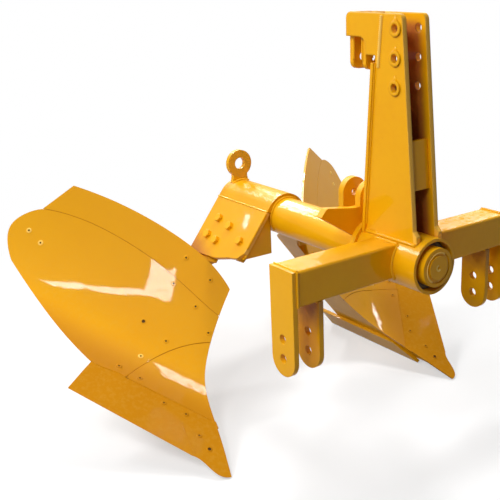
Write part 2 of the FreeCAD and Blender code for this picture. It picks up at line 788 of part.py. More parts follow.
share_seam_shares = [(0.080, 0.175), (0.200, 0.172), (0.300, 0.168), (0.419, 0.163)]
share_edge_shares = [(0.529, 0.0), (0.125, 0.0)]
nose_shares = [(0.125, 0.0), (0.078, -0.005), (0.042, -0.017), (0.021, -0.016), (0.004, -0.004), (-0.012, 0.030)]
frog_seat_shares = [(0.060, 0.030), (0.360, 0.030), (0.480, 0.130), (0.515, 0.300), (0.505, 0.520),
                    (0.300, 0.600), (0.200, 0.500)]
bracket_shares = [(0.345, 0.625), (0.495, 0.690), (0.495, 0.930), (0.345, 0.870)]
stay_pad_shares = [(0.868, 0.550), (0.960, 0.580), (0.960, 0.655), (0.868, 0.620)]
frog_front_shares = [(0.0, 0.03), (0.19, 0.25), (0.46, 0.50), (0.59, 0.75), (0.70, 1.0)]


def closed(spots):
    return list(zip(spots, spots[1:] + spots[:1]))


# Boards: share, shin, mouldboard and trash board, all flush in one twisted surface.
def make_boards():
    sheet_solid = sheet_behind(0, dim.board_thick)
    land = beyond(dim.land_out)
    gap = dim.seam_gap
    raised_seam = shift(trash_seam_shares, 0, gap)
    wing = shift(wing_seam_shares, gap, gap)
    shin_side = shift(shin_seam_shares, gap, gap)
    shin_foot = shift(share_seam_shares, 0, gap)
    shin_edge = shin_seam_shares[:-1] + shin_foot[-1:]
    outlines = {
        "share": [share_edge_shares, nose_shares, [nose_shares[-1], share_seam_shares[0]], share_seam_shares,
                  wing_seam_shares, [wing_seam_shares[-1], share_edge_shares[0]]],
        "shin": [shin_foot, shin_edge[::-1], [shin_edge[0], shin_foot[0]]],
        "mouldboard": [trash_seam_shares, [trash_seam_shares[-1], shin_side[0]], shin_side, wing,
                       [wing[-1], lower_edge_shares[0]], lower_edge_shares, tail_shares],
        "trash_board": [raised_seam, [raised_seam[-1], trash_top_shares[0]], trash_top_shares,
                        [trash_top_shares[-1], raised_seam[0]]],
    }
    for name, runs in outlines.items():
        board = sheet_solid.common(prism(runs)).cut(land)
        keep_pair(name, solid_piece(f"{name}_right", board, -dim.turn_limit))


def frog_top():
    """Height of the frog's web, up to the bracket's foot."""
    return bracket_shares[0][1] * dim.board_height


# Frog: a seat behind the boards with a thick web that takes the leg and the landside.
def make_frog():
    inner_face = dim.land_out - dim.landside_plate - dim.seat_gap
    outer_face = -dim.tube_outer / 2 + dim.leg_plate + dim.seat_gap
    depth = dim.board_thick + dim.seat_gap
    seat = sheet_behind(depth, dim.seat_thick).common(prism(closed(frog_seat_shares)))
    length = dim.frog_rear - dim.frog_front
    front = [V(-dim.frog_front - along * length, outer_face, up * frog_top() - dim.floor_drop)
             for along, up in frog_front_shares]
    rear = [V(-dim.frog_rear, outer_face, frog_top() - dim.floor_drop),
            V(-dim.leg_foot_rear, outer_face, front[0].z)]
    web = Part.Face(Part.makePolygon(front + rear + front[:1])).extrude(V(0, inner_face - outer_face, 0))
    web = web.cut(front_room(depth + dim.seat_thick / 2))
    frog = seat.fuse(web).cut(beyond(inner_face))
    keep_pair("frog", solid_piece("frog_right", frog, -dim.turn_limit))


def front_room(depth):
    """The space that the boards, and the soil before them, take from what is behind."""
    return sheet_behind(depth - dim.front_room, dim.front_room)


def head_bolts():
    """Start and length of each bolt that holds the leg between the cheek and its nut."""
    length = dim.head_rear - dim.head_front
    start = -dim.tube_outer / 2 - dim.seat_gap - dim.head_plate
    grip = dim.head_plate + dim.seat_gap + dim.leg_plate
    return [(V(-dim.head_front - along * length, start, -down * dim.cheek_low_drop), grip)
            for along, down in leg_bolt_shares]


# Leg: one thick upright plate from the head down to the frog.
def make_leg():
    outer_face = -dim.tube_outer / 2
    floor = -dim.floor_drop
    top = -dim.leg_top_drop
    shoulder = dim.leg_shoulder_height + floor
    foot = dim.leg_foot_height + floor
    cheek_low = -dim.cheek_low_drop
    spots = [(-dim.leg_front, top), (-dim.leg_rear, top), (-dim.leg_rear, cheek_low),
             (-dim.leg_neck_rear, shoulder), (-dim.leg_neck_rear, frog_top() + floor),
             (-dim.leg_foot_rear, foot), (-dim.leg_foot_front, foot),
             (-dim.leg_neck_front, frog_top() + floor), (-dim.leg_neck_front, shoulder),
             (-dim.leg_front, -dim.cheek_toe_drop)]
    corners = [V(x, outer_face, z) for x, z in spots]
    leg = Part.Face(Part.makePolygon(corners + corners[:1])).extrude(V(0, dim.leg_plate, 0))
    rounded = [edge for edge in leg.Edges if abs(edge.Length - dim.leg_plate) < dim.seat_gap
               and edge.Vertexes[0].Point.z < cheek_low]
    leg = leg.makeFillet(dim.leg_round, rounded).cut(front_room(dim.board_thick + dim.seat_thick + 2 * dim.seat_gap))
    for start, grip in head_bolts():
        leg = leg.cut(Part.makeCylinder(dim.leg_bolt / 2 + dim.bolt_gap, grip, start, V(0, 1, 0)))
    keep_pair("leg", solid_piece("leg_right", leg, -dim.turn_limit))


# Landside: the bar that slides along the furrow wall, with a slanted front end.
def make_landside():
    bottom = "-floor_drop"
    top = "landside_height - floor_drop"
    corners = [("-landside_front", bottom), ("-landside_front - landside_slope", top),
               ("-landside_rear", top), ("-landside_rear", bottom)]
    middle = dim.land_out - dim.landside_plate / 2
    made = plate("landside_right", "XZ_Plane", corners, "landside_plate", (), (),
                 (0, middle, 0), -dim.turn_limit)
    keep_pair("landside", made)


# Fasteners: each bolt is one solid with its nut.
def make_bolts():
    bolts = []
    across = V(0, 1, 0)
    for start, grip in head_bolts():
        head = hexagon(dim.leg_bolt_head, dim.leg_bolt_head_high, start - across * dim.leg_bolt_head_high, across)
        nut = hexagon(dim.leg_bolt_head, dim.leg_bolt_nut_high, start + across * grip, across)
        shank = Part.makeCylinder(dim.leg_bolt / 2, grip + dim.leg_bolt_nut_high + dim.leg_bolt_end, start, across)
        bolts.append(shank.fuse([head, nut]))
    keep_pair("leg_bolts", solid_piece("leg_bolts_right", Part.makeCompound(bolts), -dim.turn_limit))


# Backing: a bracket across the seam under the trash board, and a stay to the tail.
def make_backing():
    depth = dim.board_thick + dim.seat_gap
    bracket = sheet_behind(depth, dim.seat_thick).common(prism(closed(bracket_shares)))
    keep_pair("trash_bracket", solid_piece("trash_bracket_right", bracket, -dim.turn_limit))

    pad = sheet_behind(depth, dim.seat_thick).common(prism(closed(stay_pad_shares)))
    middle = pad.Solids[0].CenterOfMass
    foot = V(-dim.stay_foot_back, -dim.tube_outer / 2 - dim.seat_gap - dim.bracket_plate,
             dim.stay_foot_height - dim.floor_drop)
    half = dim.stay_foot / 2
    tab = Part.makeBox(dim.stay_foot, dim.bracket_plate, dim.stay_foot, foot - V(half, 0, half))
    seat = foot + V(0, dim.bracket_plate / 2, 0)
    rod = Part.makeCylinder(dim.stay_tube / 2, (middle - seat).Length, seat, middle - seat)
    rod = rod.cut(front_room(depth + dim.seat_thick / 2))
    legs_side = Part.makeBox(dim.stay_foot, dim.leg_plate, dim.stay_foot,
                             foot + V(-half, dim.bracket_plate, -half))
    stay = pad.fuse([tab, rod.cut(legs_side)])
    keep_pair("stay", solid_piece("stay_right", stay, -dim.turn_limit))


for make in (make_crossbeam, make_link_plates, make_mast, make_ears, make_hub, make_stops, make_spindle,
             make_beam_tube, make_crank, make_head, make_leg, make_frog, make_landside, make_boards,
             make_bolts, make_backing):
    make()
doc.recompute()

for thing in doc.Objects:
    if "Invalid" in thing.State or "Error" in thing.State:
        raise RuntimeError(f"{thing.Label} is not sound: {thing.State}")
for piece in pieces:
    if piece.Shape.isNull() or not piece.Shape.isValid() or not piece.Shape.Solids:
        raise RuntimeError(f"{piece.Label} has no valid solid")

os.makedirs("parts", exist_ok=True)
for piece in pieces:
    piece.Shape.exportStep(f"parts/{piece.Label}.step")
print(len(pieces), "pieces")
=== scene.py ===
import math
import bmesh
import bpy
from mathutils import Matrix, Vector
from mathutils.bvhtree import BVHTree


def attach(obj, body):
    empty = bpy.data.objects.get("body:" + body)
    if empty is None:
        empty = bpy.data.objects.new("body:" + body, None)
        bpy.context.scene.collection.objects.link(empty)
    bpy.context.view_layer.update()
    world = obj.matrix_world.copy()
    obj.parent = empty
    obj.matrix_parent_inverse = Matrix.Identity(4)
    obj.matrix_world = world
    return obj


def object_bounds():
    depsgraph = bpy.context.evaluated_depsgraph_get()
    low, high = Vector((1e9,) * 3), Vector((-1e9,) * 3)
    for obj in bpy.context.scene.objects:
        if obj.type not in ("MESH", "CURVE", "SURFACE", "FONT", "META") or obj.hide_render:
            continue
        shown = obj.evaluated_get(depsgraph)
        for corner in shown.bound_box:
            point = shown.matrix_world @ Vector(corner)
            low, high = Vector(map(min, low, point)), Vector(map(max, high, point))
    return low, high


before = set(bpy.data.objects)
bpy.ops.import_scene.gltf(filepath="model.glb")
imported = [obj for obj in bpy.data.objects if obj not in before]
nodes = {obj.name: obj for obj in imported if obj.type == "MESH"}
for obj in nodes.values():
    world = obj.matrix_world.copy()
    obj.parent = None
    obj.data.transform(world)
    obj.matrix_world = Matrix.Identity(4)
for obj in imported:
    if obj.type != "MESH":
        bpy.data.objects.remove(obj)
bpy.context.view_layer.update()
print("frame loaded:", len(nodes), "nodes")


# Shader maths on sockets

class Wire:
    def __init__(self, tree, socket):
        self.tree = tree
        self.socket = socket

    def mathNode(self, operation, first, second=None):
        inputs = {0: first} if second is None else {0: first, 1: second}
        return addNode(self.tree, "ShaderNodeMath", {"operation": operation}, inputs).out(0)

    def __add__(self, other):
        return self.mathNode("ADD", self, other)

    def __radd__(self, other):
        return self.mathNode("ADD", other, self)

    def __sub__(self, other):
        return self.mathNode("SUBTRACT", self, other)

    def __rsub__(self, other):
        return self.mathNode("SUBTRACT", other, self)

    def __mul__(self, other):
        return self.mathNode("MULTIPLY", self, other)

    def __rmul__(self, other):
        return self.mathNode("MULTIPLY", other, self)

    def __truediv__(self, other):
        return self.mathNode("DIVIDE", self, other)

    def __pow__(self, other):
        return self.mathNode("POWER", self, other)

    def largest(self, other):
        return self.mathNode("MAXIMUM", self, other)

    def smallest(self, other):
        return self.mathNode("MINIMUM", self, other)

    def absolute(self):
        return self.mathNode("ABSOLUTE", self)

    def step(self, low, high):
        values = {"Value": self, "From Min": low, "From Max": high, "To Min": 0.0, "To Max": 1.0}
        settings = {"interpolation_type": "SMOOTHSTEP"}
        return addNode(self.tree, "ShaderNodeMapRange", settings, values).out("Result")


class Made:
    def __init__(self, tree, node):
        self.tree = tree
        self.node = node

    def out(self, key):
        return Wire(self.tree, self.node.outputs[key])


def addNode(tree, kind, settings=None, inputs=None):
    node = tree.nodes.new(kind)
    for name, value in (settings or {}).items():
        setattr(node, name, value)
    for key, value in (inputs or {}).items():
        if isinstance(value, Wire):
            tree.links.new(value.socket, node.inputs[key])
        else:
            node.inputs[key].default_value = value
    return Made(tree, node)


def newMaterial(name):
    material = bpy.data.materials.new(name)
    material.use_nodes = True
    tree = material.node_tree
    tree.nodes.clear()
    return material, tree


def finishMaterial(tree, inputs):
    shader = addNode(tree, "ShaderNodeBsdfPrincipled", {}, inputs)
    addNode(tree, "ShaderNodeOutputMaterial", {}, {"Surface": shader.out("BSDF")})


def objectPlace(tree):
    return addNode(tree, "ShaderNodeTexCoord").out("Object")


def axesOf(tree, vector):
    parts = addNode(tree, "ShaderNodeSeparateXYZ", {}, {0: vector})
    return [parts.out(axis) for axis in "XYZ"]


def noise(tree, place, scale, detail, roughness):
    values = {"Vector": place, "Scale": scale, "Detail": detail, "Roughness": roughness}
    return addNode(tree, "ShaderNodeTexNoise", {}, values).out("Fac")


def mixColor(tree, mask, first, second):
    # inputs 6 and 7 and output 2 are the node's color sockets
    def rgba(value):
        return value if isinstance(value, Wire) else (*value, 1.0)
    values = {"Factor": mask, 6: rgba(first), 7: rgba(second)}
    return addNode(tree, "ShaderNodeMix", {"data_type": "RGBA"}, values).out(2)


def bump(tree, height, strength, distance, normal=None):
    values = {"Height": height, "Strength": strength, "Distance": distance}
    if normal is not None:
        values["Normal"] = normal
    return addNode(tree, "ShaderNodeBump", {}, values).out("Normal")


# Finishes: noises are (scale, detail, roughness), steps are (nothing, all)

paintLook = {
    "color": (0.86, 0.42, 0.003),
    "thinColor": (0.80, 0.34, 0.003),
    "dustColor": (0.70, 0.44, 0.08),
    "runColor": (0.56, 0.20, 0.004),
    "roughness": 0.36,
    "fineRough": 0.10,
    "dustRough": 0.8,
    "specular": 0.04,
    "coat": 0.22,
    "dustCoat": 1.5,
    "coatRoughness": 0.04,
    "cloud": (5.0, 3.0, 0.5),
    "cloudShare": 0.7,
    "fine": (60.0, 4.0, 0.6),
    "fineShare": 0.3,
    "thinSteps": (0.35, 0.75),
    "thinStrength": 0.55,
    "specks": (210.0, 3.0, 0.6),
    "speckSteps": (0.70, 0.74),
    "speckField": (14.0, 2.0, 0.5),
    "speckFieldSteps": (0.48, 0.60),
    "speckStrength": 0.5,
    "wear": 1.0,
    "dustSlopes": (0.2, 1.0),
    "dustSteps": (0.42, 0.7),
    "dustStrength": 0.16,
    "fades": (),
    "peel": (420.0, 2.0, 0.5),
    "reliefShare": 0.5,
    "relief": 0.10,
    "reliefDistance": 0.0006,
    "edgeRadius": 0.0045,
    "edgeSamples": 4,
}


def fadeMask(tree, place, steps):
    # each step is a way over X, distance from the middle plane and Z, then its clear and full places
    x, y, z = axesOf(tree, place)
    axes = (x, y.absolute(), z)
    mask = 1.0
    for way, clear, full in steps:
        reach = 0.0
        for axis, weight in zip(axes, way):
            if weight:
                reach = reach + axis * weight
        mask = reach.step(clear, full) * mask
    return mask


def crescentMask(tree, place, crescent):
    # part of a ring round the turnover axis, open on one side; it carries a painted highlight
    across, up = axesOf(tree, place)[1:]
    radius = (across ** 2 + up ** 2) ** 0.5
    openAcross, openUp = crescent["open"]
    toward = (across * openAcross + up * openUp) / (radius + crescent["least"])
    inner = crescent["width"] * crescent["fullShare"]
    band = (radius - crescent["radius"]).absolute().step(crescent["width"], inner)
    return band * (1.0 - toward.step(*crescent["ends"]))


def makePaint(name, changes, crescent=None):
    look = paintLook | changes
    material, tree = newMaterial(name)
    place = objectPlace(tree)
    cloud = noise(tree, place, *look["cloud"])
    fine = noise(tree, place, *look["fine"])
    peel = noise(tree, place, *look["peel"])
    speckField = noise(tree, place, *look["speckField"]).step(*look["speckFieldSteps"])
    specks = noise(tree, place, *look["specks"]).step(*look["speckSteps"]) * speckField
    thin = (cloud * look["cloudShare"] + fine * look["fineShare"]).step(*look["thinSteps"])
    color = mixColor(tree, thin * look["thinStrength"], look["color"], look["thinColor"])
    settled = axesOf(tree, addNode(tree, "ShaderNodeNewGeometry").out("Normal"))[2]
    dust = settled.step(*look["dustSlopes"]) * fine.step(*look["dustSteps"]) * look["dustStrength"]
    color = mixColor(tree, dust, color, look["dustColor"])
    color = mixColor(tree, specks * look["wear"] * look["speckStrength"], color, look["runColor"])
    for fade in look["fades"]:
        cover = fadeMask(tree, place, fade["steps"]) * fade["strength"]
        cover = (cover + (fine - 0.5) * fade["uneven"] * cover).smallest(1.0)
        color = mixColor(tree, cover, color, fade["color"])
    share = look["reliefShare"]
    relief = peel * share + fine * share + specks * share
    if crescent:
        mark = crescentMask(tree, place, crescent)
        color = mixColor(tree, mark, color, crescent["color"])
        relief = relief + mark * crescent["rise"]
    edge = addNode(tree, "ShaderNodeBevel", {"samples": look["edgeSamples"]},
                   {"Radius": look["edgeRadius"]}).out("Normal")
    finishMaterial(tree, {
        "Base Color": color,
        "Roughness": look["roughness"] + fine * look["fineRough"] + dust * look["dustRough"],
        "Specular IOR Level": look["specular"],
        "Coat Weight": (look["coat"] - dust * look["dustCoat"]).largest(0.0),
        "Coat Roughness": look["coatRoughness"],
        "Normal": bump(tree, relief, look["relief"], look["reliefDistance"], edge),
    })
    return material


steelLook = {
    "roughness": 0.42,
    "fine": (130.0, 4.0, 0.6),
    "fineRough": 0.2,
    "patch": (34.0, 3.0, 0.5),
    "patchSteps": (0.5, 0.75),
    "patchRough": 0.2,
    "specular": 0.15,
    "relief": 0.15,
    "reliefDistance": 0.0004,
}


def makeSteel(name, changes):
    look = steelLook | changes
    material, tree = newMaterial(name)
    place = objectPlace(tree)
    fine = noise(tree, place, *look["fine"])
    patch = noise(tree, place, *look["patch"]).step(*look["patchSteps"])
    rust = patch * look["rusty"]
    finishMaterial(tree, {
        "Base Color": mixColor(tree, rust, look["color"], look["rustColor"]),
        "Metallic": (1.0 - rust) * look["metallic"] if look["metallic"] else 0.0,
        "Specular IOR Level": look["specular"],
        "Roughness": look["roughness"] + fine * look["fineRough"] + patch * look["patchRough"],
        "Normal": bump(tree, fine, look["relief"], look["reliefDistance"]),
    })
    return material


# the ways that fades run, over X, distance from the middle plane and Z
ways = {
    "forward": (1.0, 0.0, 0.0),
    "outward": (0.0, 1.0, 0.0),
    "up": (0.0, 0.0, 1.0),
    "mastFront": (1.0, 0.0, 0.0951),
    "mastBack": (1.0, 0.0, -0.0769),
    "boardUp": (0.0, -0.609, 0.793),
    "cheekCorner": (0.5, -0.609, 0.793),
}
# painted shade: the faces inside the mast's channel, between its plates, darken to a deep red-brown
channelShadeColor = (0.44, 0.125, 0.028)
mastInside = (ways["outward"], 0.0440, 0.0395)
fades = {
    "boards": [
        # painted shade: the boards darken towards the bottom, over the lower shin and the share
        {"steps": [(ways["boardUp"], -0.650, -0.770)],
         "strength": 1.0, "uneven": 0.1, "color": (0.53, 0.213, 0.003)},
    ],
    "mast": [
        # painted shade inside the mast's channel
        {"steps": [mastInside, (ways["mastFront"], 0.114, 0.082), (ways["up"], 0.738, 0.700)],
         "strength": 0.92, "uneven": 0.4, "color": channelShadeColor},
        # painted highlight: a pale line along the front edges of the mast plates
        {"steps": [(ways["mastFront"], 0.1190, 0.1222)],
         "strength": 0.85, "uneven": 0.3, "color": (1.0, 0.55, 0.07)},
        # painted highlight: a pale line along the top edges of the mast plates
        {"steps": [(ways["up"], 0.7405, 0.7435)],
         "strength": 0.6, "uneven": 0.3, "color": (1.0, 0.66, 0.17)},
    ],
    "backPlate": [
        # painted shade inside the channel by the back plate
        {"steps": [mastInside, (ways["mastBack"], -0.1120, -0.1080)],
         "strength": 0.92, "uneven": 0.4, "color": channelShadeColor},
    ],
    "cheek": [
        # painted shade: the cheeks darken to brown at their lower rear corners
        {"steps": [(ways["cheekCorner"], -0.625, -0.705)],
         "strength": 0.9, "uneven": 0.6, "color": (0.46, 0.17, 0.03)},
        # painted highlight: a pale line down the front edges of the cheeks
        {"steps": [(ways["forward"], -0.6175, -0.6135)],
         "strength": 0.7, "uneven": 0.3, "color": (1.0, 0.60, 0.13)},
    ],
    "link": [
        # painted shade: the inner link plates darken towards their tops, under the crossbeam
        {"steps": [(ways["up"], -0.170, -0.055)],
         "strength": 0.75, "uneven": 0.8, "color": (0.30, 0.13, 0.045)},
    ],
}
paint = makePaint("glossYellowPaint", {})
mastPaint = makePaint("mastYellowPaint", {"edgeRadius": 0.008, "fades": fades["mast"]})
backPlatePaint = makePaint("backPlateYellowPaint", {"fades": fades["backPlate"]})
# painted shade: the cheeks have a darker copy of the yellow paint
cheekPaint = makePaint("cheekYellowPaint", {
    "color": (0.80, 0.375, 0.003), "thinColor": (0.76, 0.320, 0.003), "fades": fades["cheek"]})
saddlePaint = makePaint("saddleYellowPaint", {
    "color": (0.77, 0.360, 0.003), "thinColor": (0.73, 0.310, 0.003), "coat": 0.07})
linkPaint = makePaint("linkYellowPaint", {"fades": fades["link"]})
boardPaint = makePaint("boardYellowPaint", {
    "color": (0.77, 0.355, 0.003), "thinColor": (0.74, 0.315, 0.003), "coat": 0.24,
    "coatRoughness": 0.03, "edgeRadius": 0.001, "relief": 0.04, "wear": 0.6,
    "fades": fades["boards"]})
# painted shade: the share has a darker copy of the yellow paint; its higher roughness and thin coat
# are its own
sharePaint = makePaint("shareYellowPaint", {
    "color": (0.54, 0.218, 0.003), "thinColor": (0.49, 0.180, 0.003), "roughness": 0.50,
    "specular": 0.02, "coat": 0.02, "edgeRadius": 0.001, "wear": 0.8})
weldPaint = makePaint("paintOverWeld", {"roughness": 0.40, "edgeRadius": 0.0008, "wear": 0.3})
# painted shade: the dark brown in the seam grooves stands in for the shade in the gaps
seamShadePaint = makePaint("seamShadeFill", {
    "color": (0.50, 0.17, 0.005), "thinColor": (0.38, 0.115, 0.005), "coat": 0.02, "wear": 0.0})
# painted highlight: a pale paint standing in for glints on the mast welds, along the nut's groove
# and on some bolt heads
glintPaint = makePaint("paleGlintPaint", {
    "color": (0.97, 0.61, 0.12), "thinColor": (0.93, 0.52, 0.08), "edgeRadius": 0.0006,
    "wear": 0.0})
# painted highlight: a crescent on the spindle end, raised by bump, its pale colour standing in for a
# glint on it
spindleCrescent = {
    "open": (0.89, 0.45),
    "least": 0.0001,
    "radius": 0.0080,
    "width": 0.0042,
    "fullShare": 0.4,
    "ends": (0.25, 0.5),
    "color": (1.0, 0.68, 0.14),
    "rise": 4.0,
}
spindlePaint = makePaint("spindleEndPaint", {"wear": 0.5}, spindleCrescent)
# painted shade: near-black, with darker patches, in the bolt sockets and open holes, standing in for
# the shade in them
paintedSocketShade = makeSteel("paintedSocketShade", {
    "color": (0.085, 0.034, 0.008), "rustColor": (0.04, 0.018, 0.006), "roughness": 0.65,
    "metallic": 0.0, "rusty": 0.35})
bareSteel = makeSteel("greasySteel", {
    "color": (0.10, 0.070, 0.035), "rustColor": (0.07, 0.035, 0.012),
    "metallic": 0.4, "rusty": 0.6})
bushIron = makeSteel("greasyBushIron", {
    "color": (0.065, 0.042, 0.016), "rustColor": (0.05, 0.025, 0.008), "roughness": 0.60,
    "metallic": 0.2, "rusty": 0.5})

# finishes by a node's name without its side; every other node has the plain paint
nodeFinishes = {
    "hub_bushes": bushIron,
    "thrust_washer": bareSteel,
    "spindle": spindlePaint,
    "mast_plate": mastPaint,
    "mast_back_plate": backPlatePaint,
    "cheek": cheekPaint,
    "head_saddle": saddlePaint,
    "link_plate_inner": linkPaint,
    "share": sharePaint,
    "mouldboard": boardPaint,
    "shin": boardPaint,
    "trash_board": boardPaint,
}
for name, node in nodes.items():
    kind = name.removesuffix("_left").removesuffix("_right")
    node.data.materials.clear()
    node.data.materials.append(nodeFinishes.get(kind, paint))
print("finishes set")


# Small pieces

sideWords = {-1: "right", 1: "left"}
mergeDistance = 0.00001
restTilt = -37.5  # degrees about +X from the right body's upright frame to its place at rest
tilt = Matrix.Rotation(math.radians(restTilt), 3, "X")


def meshPiece(name, bm, material, body, smooth=True):
    mesh = bpy.data.meshes.new(name)
    bmesh.ops.remove_doubles(bm, verts=bm.verts, dist=mergeDistance)
    bmesh.ops.recalc_face_normals(bm, faces=bm.faces)
    bm.to_mesh(mesh)
    bm.free()
    mesh.materials.append(material)
    for face in mesh.polygons:
        face.use_smooth = smooth
    piece = bpy.data.objects.new(name, mesh)
    bpy.context.scene.collection.objects.link(piece)
    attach(piece, body)
    return piece


def extruded(bm, edges):
    # the new vertices and edges of one extrusion
    made = bmesh.ops.extrude_edge_only(bm, edges=edges)["geom"]
    verts = [item for item in made if isinstance(item, bmesh.types.BMVert)]
    return verts, [item for item in made if isinstance(item, bmesh.types.BMEdge)]


weldBead = {
    "radius": 0.0042,
    "pitch": 0.0055,
    "ripple": 0.14,
    "sides": 8,
    "wander": 0.0006,
    "wanderTurn": 1.7,
    "endSwell": 0.35,
    "fewest": 3,
    "shortest": 1e-6,
}


def layBead(bm, path, radius, ripple):
    # one rippled bead along a path, closed at both ends
    lengths = [0.0]
    for a, b in zip(path, path[1:]):
        lengths.append(lengths[-1] + (b - a).length)
    count = max(weldBead["fewest"], int(lengths[-1] / weldBead["pitch"]))

    def placeAt(share):
        goal = share * lengths[-1]
        for index, (a, b) in enumerate(zip(path, path[1:])):
            if goal <= lengths[index + 1] or index == len(path) - 2:
                part = (goal - lengths[index]) / max((b - a).length, weldBead["shortest"])
                return a.lerp(b, part), (b - a).normalized()

    edges = None
    for step in range(2 * count + 1):
        place, along = placeAt(step / (2 * count))
        swell = 1.0 + (ripple if step % 2 else -ripple)
        wander = math.sin(step * weldBead["wanderTurn"]) * weldBead["wander"] if ripple else 0.0
        if step in (0, 2 * count):
            swell = weldBead["endSwell"]
        turn = along.to_track_quat("Z", "Y").to_matrix().to_4x4()
        matrix = Matrix.Translation(place + Vector((wander, -wander, wander))) @ turn
        if edges is None:
            ring = bmesh.ops.create_circle(bm, cap_ends=True, segments=weldBead["sides"],
                                           radius=radius * swell, matrix=matrix)
            edges = list({edge for vert in ring["verts"] for edge in vert.link_edges})
        else:
            verts, made = extruded(bm, edges)
            edges = [edge for edge in made if not edge.link_faces[1:]]
            centre = sum((vert.co for vert in verts), Vector()) / len(verts)
            reach = max((vert.co - centre).length for vert in verts)
            bmesh.ops.translate(bm, verts=verts, vec=place - centre)
            bmesh.ops.scale(bm, verts=verts, vec=(radius * swell / reach,) * 3,
                            space=Matrix.Translation(-place))
    bmesh.ops.contextual_create(bm, geom=edges)


def arcPath(x, radius, fromAngle, toAngle, steps=18):
    # angles in degrees from +Y towards +Z, round the turnover axis
    turns = [math.radians(fromAngle + (toAngle - fromAngle) * step / steps)
             for step in range(steps + 1)]
    return [Vector((x, radius * math.cos(turn), radius * math.sin(turn))) for turn in turns]


def sideAngle(angle, side):
    return angle if side > 0 else 180 - angle


def sidePath(points, side):
    # points are (x, distance from the middle plane, z)
    return [Vector((x, side * out, z)) for x, out, z in points]


def tiltedPath(points, side):
    # points of the right body's upright frame, turned to either side's place at rest
    placed = [tilt @ Vector(point) for point in points]
    return [Vector((point.x, -point.y * side, point.z)) for point in placed]


def weld(name, paths, body, radius=weldBead["radius"], ripple=weldBead["ripple"], finish=weldPaint):
    bm = bmesh.new()
    for path in paths:
        layBead(bm, path, radius, ripple)
    meshPiece(name, bm, finish, body)


beam = {"half": 0.0555, "top": 0.062, "bottom": -0.048, "end": 0.4495}
hubWeld = {
    "radius": 0.0895,
    "topLevel": 0.0622,
    "mastFoot": ((-0.1, 0.0555, 0.0712), (0.125, 0.0555, 0.0712)),
    "thick": 0.0062,
}
headstockWeld = {
    "endLevel": 0.0625,
    "plates": {"outs": (0.3575, 0.3755, 0.4495), "half": 0.05, "level": -0.0485},
    "backPlate": ((-0.0995, 0.0550, 0.09), (-0.0615, 0.0550, 0.598)),
    "bridge": ((0.073, 0.0375, 0.229), (0.064, 0.0375, 0.379)),
    "rearEar": ((-0.177, 0.0375, 0.6), (-0.177, 0.0375, 0.735)),
    "frontEar": ((-0.137, 0.0375, 0.6), (-0.137, 0.0375, 0.735)),
}
mastWeld = {
    "path": ((-0.047, 0.0540, 0.586), (-0.040, 0.0540, 0.667), (-0.033, 0.0540, 0.7385)),
    "thick": 0.0058,
    "ripple": 0.26,
}
saddleSeam = {
    "path": ((-0.943, -0.0855, -0.0272), (-0.609, -0.0855, -0.0272)),
    "thick": 0.0032,
    "ripple": 0.24,
}
headWeld = {
    "inner": ((-0.6190, -0.0690, -0.034), (-0.6190, -0.0690, -0.212)),
    "outer": ((-0.6125, -0.0855, -0.034), (-0.6125, -0.0855, -0.182)),
    "rings": (-0.6115, -0.9405),
    "ringRadius": 0.0715,
    "ringSteps": 16,
    "thick": 0.005,
}
# each arc is x, radius and its two angles
tubeWeld = {
    "arcs": ((-0.1622, 0.0715, 40, 140), (-0.2178, 0.0715, 46, 134), (-0.2462, 0.0715, 46, 134),
             (-0.9075, 0.0875, 65, 115), (-0.9285, 0.0875, 65, 115)),
    "thick": 0.005,
}
half = beam["half"]
topAngle = math.degrees(math.asin(beam["top"] / hubWeld["radius"]))
lowAngle = math.degrees(math.asin(beam["bottom"] / hubWeld["radius"]))
topReach = math.sqrt(hubWeld["radius"] ** 2 - beam["top"] ** 2)
for side, word in sideWords.items():
    paths = [arcPath(x, hubWeld["radius"], sideAngle(lowAngle, side), sideAngle(topAngle, side))
             for x in (half, -half)]
    topLine = [(x, topReach, hubWeld["topLevel"]) for x in (half, -half)]
    paths += [sidePath(points, side) for points in (topLine, hubWeld["mastFoot"])]
    weld(f"hubWelds_{word}", paths, "headstock", hubWeld["thick"])

    lines = [[(x, beam["end"], headstockWeld["endLevel"]) for x in (-half, half)]]
    lines += [[(x, beam["end"], z) for z in (beam["top"], beam["bottom"])] for x in (half, -half)]
    plates = headstockWeld["plates"]
    lines += [[(x, out, plates["level"]) for x in (-plates["half"], plates["half"])]
              for out in plates["outs"]]
    lines += [headstockWeld[key] for key in ("backPlate", "bridge", "rearEar", "frontEar")]
    weld(f"headstockWelds_{word}", [sidePath(line, side) for line in lines], "headstock")
    # painted highlight: the mast welds have the pale paint, standing in for their sparkle
    weld(f"mastWeld_{word}", [sidePath(mastWeld["path"], side)], "headstock",
         mastWeld["thick"], mastWeld["ripple"], glintPaint)

    weld(f"saddleSeam_{word}", [tiltedPath(saddleSeam["path"], side)], "rotor",
         saddleSeam["thick"], saddleSeam["ripple"])
    head = [tiltedPath(headWeld[key], side) for key in ("inner", "outer")]
    head += [arcPath(x, headWeld["ringRadius"], 90, sideAngle(restTilt, side), headWeld["ringSteps"])
             for x in headWeld["rings"]]
    weld(f"headWelds_{word}", head, "rotor", headWeld["thick"])

weld("tubeWelds", [arcPath(*arc) for arc in tubeWeld["arcs"]], "rotor", tubeWeld["thick"])

